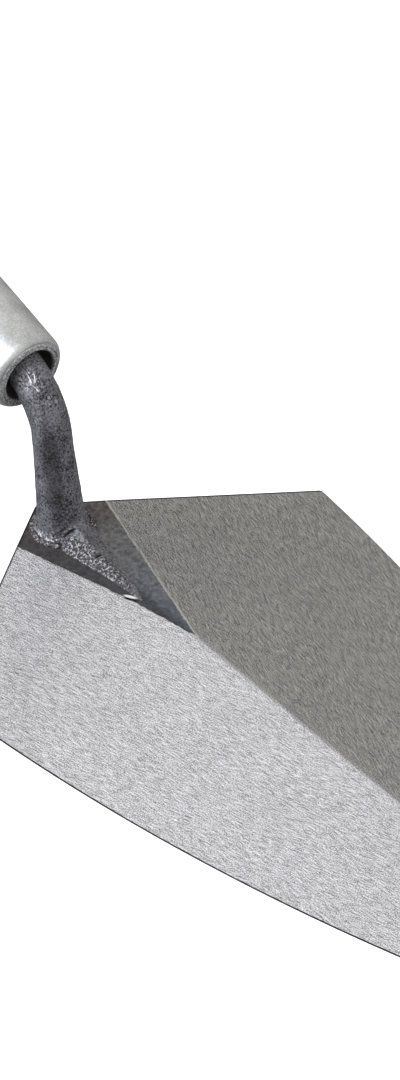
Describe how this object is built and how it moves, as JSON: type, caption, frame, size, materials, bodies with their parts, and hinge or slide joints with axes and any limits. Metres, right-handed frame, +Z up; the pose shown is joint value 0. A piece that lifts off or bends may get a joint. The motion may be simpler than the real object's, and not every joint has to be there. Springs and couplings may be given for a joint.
{
  "type": "brick trowel",
  "caption": "Pointed ground-steel blade on a forged cranked shank with a keeled foot, and a turned wooden handle held in a tapered, rolled-edge ferrule.",
  "frame": {"origin": "on the plane of the blade's underside, under the middle of the tool's overall length", "axes": "+X towards the blade's point, +Z up from the blade to the handle, Y across the shoulders"},
  "size_m": [0.429, 0.1396, 0.0839],
  "materials": {
    "ground_steel": "ground bright in strokes that run in from each side towards the ridge, with a dark unground land at the heel",
    "forged_steel": "dark oxide forging scale with hammer marks",
    "weld_metal": "rough dressed weld",
    "plated_steel": "satin plated steel",
    "turned_wood": "turned and oiled hardwood"
  },
  "bodies": {
    "root": {"blade": "ground_steel", "shank": "forged_steel", "foot_weld": "weld_metal", "ferrule": "plated_steel", "handle": "turned_wood"}
  },
  "joints": []
}
